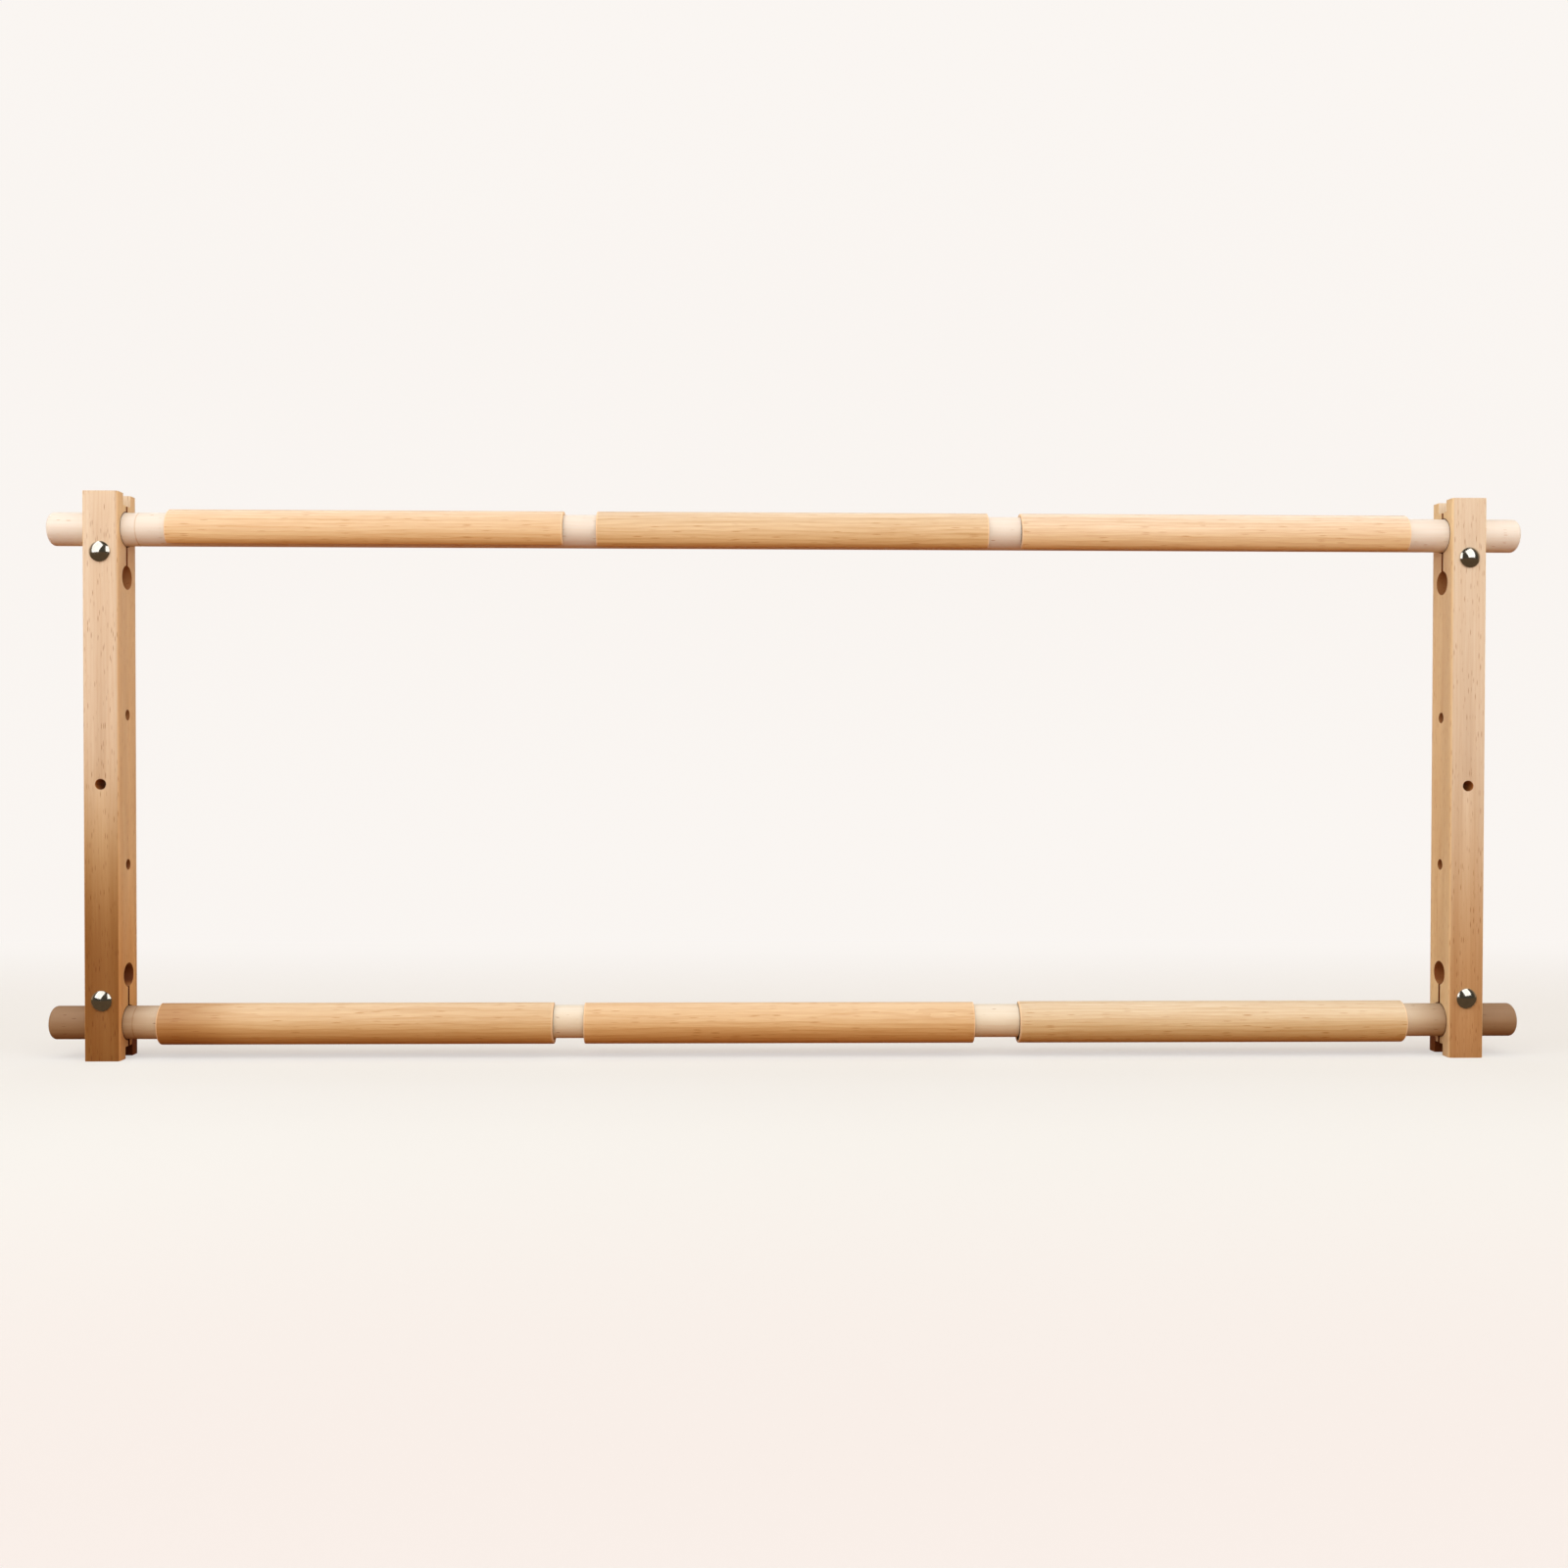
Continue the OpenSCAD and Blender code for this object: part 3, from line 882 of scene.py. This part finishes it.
def make_washer(row, side):
    """A stamped washer: one rim rolled over, the other left crisper."""
    low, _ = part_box(f"{row}_{side}_washer")
    origin = clamp_point(row, side)
    front = low.y / MM - origin.y
    back = front + WASHER_THICK
    soft = WASHER_SOFT_EDGE
    crisp = WASHER_CRISP_EDGE
    profile = [(front + crisp, WASHER_BORE_R), (front, WASHER_BORE_R + crisp)]
    profile += [(front, WASHER_R - crisp), (front + crisp, WASHER_R)]
    profile += arc((back - soft, WASHER_R - soft), soft, 90, 0, WASHER_EDGE_STEPS)
    profile += [(back, WASHER_BORE_R + soft), (back - soft, WASHER_BORE_R)]
    bm, rings = lathe(profile, WASHER_SEGMENTS, along_y(origin))
    join_rings(bm, rings[-1], rings[0])
    return link_mesh(f"{row}_{side}_washer_metal", bm, METAL_SMOOTH_DEGREES)


def wing_section():
    """Outline of one wing seen along the nut's flank: two circles and their tangents."""
    start = Vector(((2 * BOLT_R + WING_ROOT_R) / 2, WING_ROOT_R + WING_LIFT))
    finish = Vector((WING_SPAN / 2 - WING_TIP_R, WING_HEIGHT - WING_TIP_R))
    run = finish - start
    heading = math.degrees(math.atan2(run.y, run.x))
    spread = math.degrees(math.acos((WING_ROOT_R - WING_TIP_R) / run.length))
    tip = arc(finish, WING_TIP_R, heading - spread, heading + spread, WING_STEPS)
    root = arc(start, WING_ROOT_R, heading + spread, heading + 360 - spread, WING_STEPS)
    return tip + root


def upright(along, across, up):
    """Stands a turned shape of the wing nut on the floor."""
    return (across, up, along)


def make_hub():
    bottom = NUT_SHRINK
    top = HUB_HEIGHT - NUT_SHRINK
    profile = [(bottom, 0), (bottom, HUB_BASE_R - NUT_SHRINK), (top, HUB_TOP_R - NUT_SHRINK),
               (top, 0)]
    bm, _ = lathe(profile, HUB_SEGMENTS, upright)
    return link_mesh("nut_part", bm)


def make_wing(hand):
    """One wing, on the side that hand gives as 1 or -1."""
    bm = bmesh.new()
    outline = wing_section()
    half = WING_THICK / 2 - NUT_SHRINK
    near = ring_of(bm, [(-half, hand * y, z) for y, z in outline])
    far = ring_of(bm, [(half, hand * y, z) for y, z in outline])
    join_rings(bm, near, far)
    bm.faces.new(near)
    bm.faces.new(far)
    return link_mesh("nut_part", bm)


def make_drill():
    """The bore of the nut, to be cut out of it."""
    bore = NUT_BORE_R + DRILL_EXTRA
    profile = [(DRILL_START, 0), (DRILL_START, bore), (WING_HEIGHT, bore), (WING_HEIGHT, 0)]
    bm, _ = lathe(profile, DRILL_SEGMENTS, upright)
    return link_mesh("nut_drill", bm)


def make_wing_nut(row, side):
    """A forged nut: hub and wings grown into each other and bored, then melted smooth."""
    low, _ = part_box(f"{row}_{side}_wing_nut")
    origin = clamp_point(row, side)
    seat = low.y / MM
    turn = math.radians(WING_TURN[row][SIDES.index(side)])
    nut = make_hub()
    wings = [make_wing(1), make_wing(-1)]
    drill = make_drill()
    for other, action in ((wings[0], "UNION"), (wings[1], "UNION"), (drill, "DIFFERENCE")):
        cut = nut.modifiers.new(action, "BOOLEAN")
        cut.operation = action
        cut.object = other
        cut.solver = "EXACT"
    melt = nut.modifiers.new("melt", "REMESH")
    melt.mode = "VOXEL"
    melt.voxel_size = NUT_VOXEL * MM
    ease = nut.modifiers.new("ease", "SMOOTH")
    ease.factor = NUT_SMOOTHING
    ease.iterations = NUT_SMOOTHING_ROUNDS
    apply_modifiers(nut)
    for other in (*wings, drill):
        bpy.data.objects.remove(other)
    # Lays the nut's axis along the bolt and turns its wings
    stand = Matrix((
        (math.cos(turn), math.sin(turn), 0),
        (0, 0, 1),
        (-math.sin(turn), math.cos(turn), 0),
    ))
    place = Matrix.Translation(Vector((origin.x, seat, origin.z)) * MM) @ stand.to_4x4()
    nut.data.transform(place)
    nut.name = f"{row}_{side}_wing_nut_metal"
    nut.data.name = nut.name
    bm = bmesh.new()
    bm.from_mesh(nut.data)
    bmesh.ops.recalc_face_normals(bm, faces=bm.faces)
    bm.to_mesh(nut.data)
    bm.free()
    smooth_by_angle(nut, NUT_SMOOTH_DEGREES)
    return nut


plate = nickel("nickel_plate", NICKEL_TINTS["plate"], NICKEL_ROUGHNESS["plate"])
cast = nickel("nickel_cast", NICKEL_TINTS["cast"], NICKEL_ROUGHNESS["cast"])
for row in ROWS:
    for side in SIDES:
        clamp = f"{row}_{side}"
        hand_over(make_bolt(row, side), f"{clamp}_bolt", f"{side}_arm", plate)
        hand_over(make_washer(row, side), f"{clamp}_washer", f"{clamp}_washer", plate)
        hand_over(make_wing_nut(row, side), f"{clamp}_wing_nut", f"{clamp}_wing_nut", cast)


# Floor, backdrop and lights

PALE = (252, 248, 244)
PALE_PATCH = (245, 239, 235)
PATCH_SCALE = 3.0
PATCH_SHARE = 0.5
PAPER = (229, 244, 255)
PAPER_NEAR = (222, 224, 232)
FLOOR_BOUNCE = (146, 86, 40)
FLOOR_SHEEN = (88, 72, 54)
ROOM = (66, 62, 54)
ROOM_BACK = (180, 154, 126)
FILL = (227, 193, 152)
# The floor in millimetres: half its width, its front and back edges, and the sweep behind it
FLOOR_HALF = 9000.0
FLOOR_FRONT = -6000.0
FLOOR_BACK = 1500.0
SWEEP_R = 1500.0
SWEEP_DEGREES = 6
BACKDROP_TOP = 6000.0
FLOOR_SMOOTH_DEGREES = 60
# Over which stretch the floor's own glow rises, and from what share to what, with y in
# metres growing away from the camera, and the same by the distance from the frame's middle
GLOW_FROM_Y = (0.03, 0.6)
GLOW_SHARE = (0.52, 1.0)
GLOW_FROM_MIDDLE = (0.6, 1.25)
PAPER_FROM_Y = (-0.58, -0.18)
MIRRORED_FROM_Y = (0.15, 0.9)


def make_stage():
    """A pale floor that curves up into the backdrop far behind the frame."""
    bm = bmesh.new()
    profile = [(FLOOR_FRONT, 0.0), (FLOOR_BACK, 0.0)]
    for degrees in range(SWEEP_DEGREES, 91, SWEEP_DEGREES):
        angle = math.radians(degrees)
        profile.append((FLOOR_BACK + SWEEP_R * math.sin(angle), SWEEP_R * (1 - math.cos(angle))))
    profile.append((FLOOR_BACK + SWEEP_R, BACKDROP_TOP))
    left = ring_of(bm, [(-FLOOR_HALF, y, z) for y, z in profile])
    right = ring_of(bm, [(FLOOR_HALF, y, z) for y, z in profile])
    for i in range(len(profile) - 1):
        bm.faces.new((left[i], right[i], right[i + 1], left[i + 1]))
    floor = link_mesh("studio_floor", bm, FLOOR_SMOOTH_DEGREES)
    for face in floor.data.polygons:
        if face.normal.z < 0:
            floor.data.flip_normals()
            break
    paint(floor, stage_paper())


def emission(tree, colour):
    return add(tree, "ShaderNodeEmission", {"Color": colour, "Strength": 1.0}).outputs[0]


def diffuse(tree, colour):
    return add(tree, "ShaderNodeBsdfDiffuse", {"Color": colour}).outputs[0]


def mix_shader(tree, share, one, two):
    return add(tree, "ShaderNodeMixShader", {0: share, 1: one, 2: two}).outputs[0]


def stage_paper():
    """Paper that glows by itself away from the frame, so that only what is near it shades.

    The camera sees paper, metal a dark floor in front and a pale one behind, and the
    wood a warm bounce."""
    material, tree, shader = new_material("studio_paper")
    tree.nodes.remove(shader)
    ray = add(tree, "ShaderNodeLightPath").outputs
    patches = add(tree, "ShaderNodeTexNoise",
                  {"Scale": PATCH_SCALE, "Detail": 2.0}).outputs["Fac"]
    shade = mix_colour(tree, math_node(tree, "MULTIPLY", patches, PATCH_SHARE),
                       linear(PALE), linear(PALE_PATCH))
    place = add(tree, "ShaderNodeTexCoord").outputs["Object"]
    depth = add(tree, "ShaderNodeSeparateXYZ", {0: place}).outputs[Y_AXIS]
    share = math_node(tree, "MAXIMUM", ramp(tree, depth, *GLOW_FROM_Y, *GLOW_SHARE),
                      ramp(tree, length_of(tree, place), *GLOW_FROM_MIDDLE))
    paper = mix_colour(tree, ramp(tree, depth, *PAPER_FROM_Y), linear(PAPER_NEAR), linear(PAPER))
    seen = mix_shader(tree, share, diffuse(tree, paper), emission(tree, shade))
    mirrored = mix_shader(tree, ramp(tree, depth, *MIRRORED_FROM_Y),
                          emission(tree, linear(FLOOR_SHEEN)), emission(tree, linear(ROOM_BACK)))
    shown = mix_shader(tree, ray["Is Glossy Ray"], diffuse(tree, linear(FLOOR_BOUNCE)), mirrored)
    shown = mix_shader(tree, ray["Is Camera Ray"], shown, seen)
    tree.links.new(shown, tree.nodes["Material Output"].inputs["Surface"])
    return material


def area_light(name, place, aim, size, power):
    """A white rectangular lamp at a place, turned to an aim."""
    data = bpy.data.lights.new(name, "AREA")
    data.shape = "RECTANGLE"
    data.size, data.size_y = size
    data.energy = power
    lamp = bpy.data.objects.new(name, data)
    bpy.context.scene.collection.objects.link(lamp)
    lamp.location = place
    lamp.rotation_euler = (Vector(aim) - Vector(place)).to_track_quat("-Z", "Y").to_euler()
    return lamp


# Name, place, aim, size and power, then whether it lights matt surfaces and whether metal
# mirrors it
LAMPS = (
    ("front_softbox", (-0.06, -1.10, 0.50), (-0.02, 0.0, 0.15), (1.30, 0.35), 3.30, True, False),
    ("top_softbox", (0.0, -0.36, 0.98), (0.0, 0.0, 0.10), (1.10, 0.26), 1.05, True, False),
    ("rim_softbox", (0.0, 0.45, 1.05), (0.0, 0.0, 0.20), (1.60, 0.35), 5.00, False, True),
    ("left_softbox", (-0.72, -0.46, 0.68), (-0.20, 0.0, 0.20), (0.66, 0.78), 2.20, True, True),
    ("right_softbox", (0.60, -0.60, 0.74), (0.20, 0.0, 0.20), (0.64, 0.72), 2.00, True, True),
    ("left_panel", (-0.72, -0.46, 0.68), (-0.20, 0.0, 0.20), (0.84, 0.98), 4.60, False, True),
    ("right_panel", (0.60, -0.60, 0.74), (0.20, 0.0, 0.20), (0.80, 0.92), 4.20, False, True),
    ("back_softbox", (0.0, 1.50, 0.50), (0.0, 0.0, 0.17), (1.60, 0.60), 7.00, True, False),
    ("left_strip", (-1.30, -0.40, 0.38), (0.40, 0.0, 0.17), (0.40, 0.50), 1.70, True, False),
    ("right_strip", (1.30, -0.40, 0.38), (-0.40, 0.0, 0.17), (0.40, 0.50), 2.12, True, False),
)


# Where, from front to back, the room that metal mirrors turns from dark to pale
ROOM_SPAN = (-0.25, 0.25)


def make_world():
    """A warm fill for the wood, a room for metal to mirror and a pale sky for the camera."""
    world = bpy.data.worlds.new("studio")
    world.use_nodes = True
    bpy.context.scene.world = world
    tree = world.node_tree
    tree.nodes.clear()
    ray = add(tree, "ShaderNodeLightPath").outputs
    direction = add(tree, "ShaderNodeTexCoord").outputs["Generated"]
    ahead = add(tree, "ShaderNodeSeparateXYZ", {0: direction}).outputs[Y_AXIS]
    # Metal sees a dark room in front and the pale backdrop behind
    room = mix_colour(tree, ramp(tree, ahead, *ROOM_SPAN), linear(ROOM), linear(ROOM_BACK))
    colour = mix_colour(tree, ray["Is Glossy Ray"], linear(FILL), room)
    colour = mix_colour(tree, ray["Is Camera Ray"], colour, linear(PALE))
    sky = add(tree, "ShaderNodeBackground", {"Color": colour, "Strength": 1.0}).outputs[0]
    out = add(tree, "ShaderNodeOutputWorld")
    tree.links.new(sky, out.inputs["Surface"])


make_stage()
make_world()
for name, place, aim, size, power, lights, mirrored in LAMPS:
    lamp = area_light(name, place, aim, size, power)
    lamp.visible_diffuse = lights
    lamp.visible_glossy = mirrored
    lamp.visible_camera = False


# Camera, fitted to points of the photograph. Its distance is one of several that fit alike
CAMERA_PLACE = (-0.02461, -0.940, 0.17824)
CAMERA_YAW = math.radians(-1.268)
CAMERA_PITCH = math.radians(-0.782)
CAMERA_ROLL = math.radians(0.089)
FOCAL_PX = 1567.5
FRAME_PX = 1600
SENSOR = 36.0
CLIP_START = 0.02
CLIP_END = 60.0

data = bpy.data.cameras.new("camera")
data.sensor_width = SENSOR
data.lens = FOCAL_PX / FRAME_PX * SENSOR
data.clip_start = CLIP_START
data.clip_end = CLIP_END
camera = bpy.data.objects.new("camera", data)
bpy.context.scene.collection.objects.link(camera)
level = Vector((-math.sin(CAMERA_YAW), math.cos(CAMERA_YAW), 0))
side_on = Vector((math.cos(CAMERA_YAW), math.sin(CAMERA_YAW), 0))
up = Vector((0, 0, 1))
ahead = level * math.cos(CAMERA_PITCH) + up * math.sin(CAMERA_PITCH)
above = up * math.cos(CAMERA_PITCH) - level * math.sin(CAMERA_PITCH)
right = side_on * math.cos(CAMERA_ROLL) + above * math.sin(CAMERA_ROLL)
top = above * math.cos(CAMERA_ROLL) - side_on * math.sin(CAMERA_ROLL)
turned = Matrix((right, top, -ahead)).transposed().to_4x4()
camera.matrix_world = Matrix.Translation(CAMERA_PLACE) @ turned
bpy.context.scene.camera = camera
bpy.context.scene.view_settings.view_transform = "Standard"
